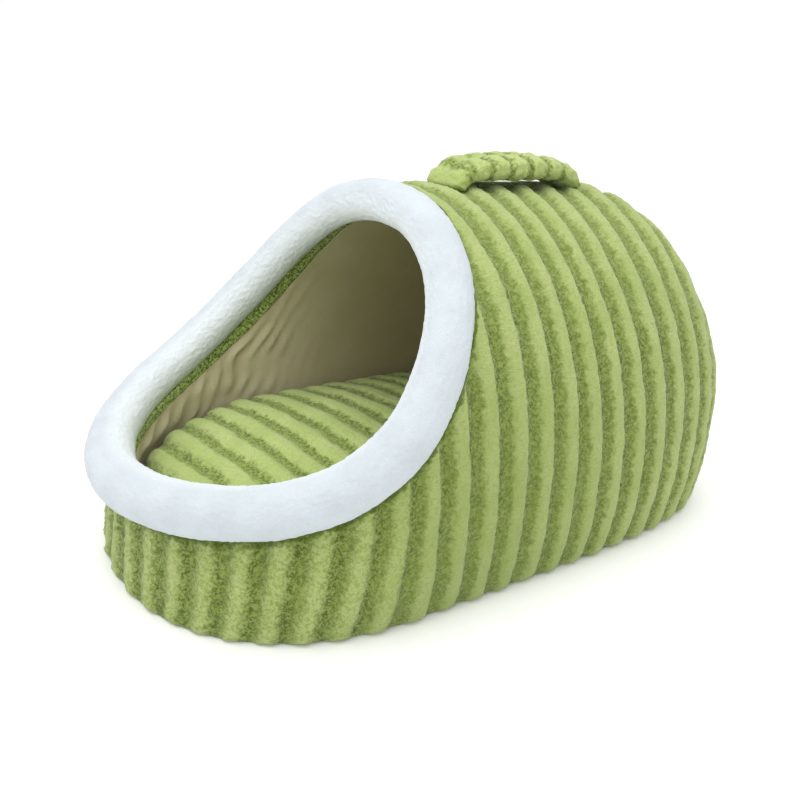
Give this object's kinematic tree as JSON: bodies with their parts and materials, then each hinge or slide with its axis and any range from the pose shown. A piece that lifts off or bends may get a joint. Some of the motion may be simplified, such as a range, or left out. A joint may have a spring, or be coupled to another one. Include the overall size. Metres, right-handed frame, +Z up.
{
  "type": "cat cave bed",
  "caption": "Soft tunnel-shaped pet bed in ribbed plush with a slanted mouth ringed by a stuffed roll, a lining, a cushion and a top carry handle.",
  "frame": {"origin": "on the floor, at the middle of the bed's overall width and length", "axes": "+Z up, the mouth faces -Y, the closed rear faces +Y, the handle runs along Y on the ridge"},
  "size_m": [0.3066, 0.4762, 0.2689],
  "materials": {
    "ribbed_plush": "ribbed green plush, matte, soft pile",
    "base_cloth": "plain woven underside cloth, matte",
    "lining_cloth": "beige smooth cloth, slightly wrinkled",
    "facing_plush": "green plush strip, matte",
    "rim_plush": "white short-pile plush, matte",
    "cushion_plush": "ribbed green plush, matte, soft pile",
    "handle_plush": "ribbed green plush, matte, soft pile"
  },
  "bodies": {
    "root": {"outer_cover": "ribbed_plush", "base_panel": "base_cloth", "lining": "lining_cloth", "rim_facing": "facing_plush", "rim_roll": "rim_plush", "cushion": "cushion_plush", "carry_handle": "handle_plush"}
  },
  "joints": []
}
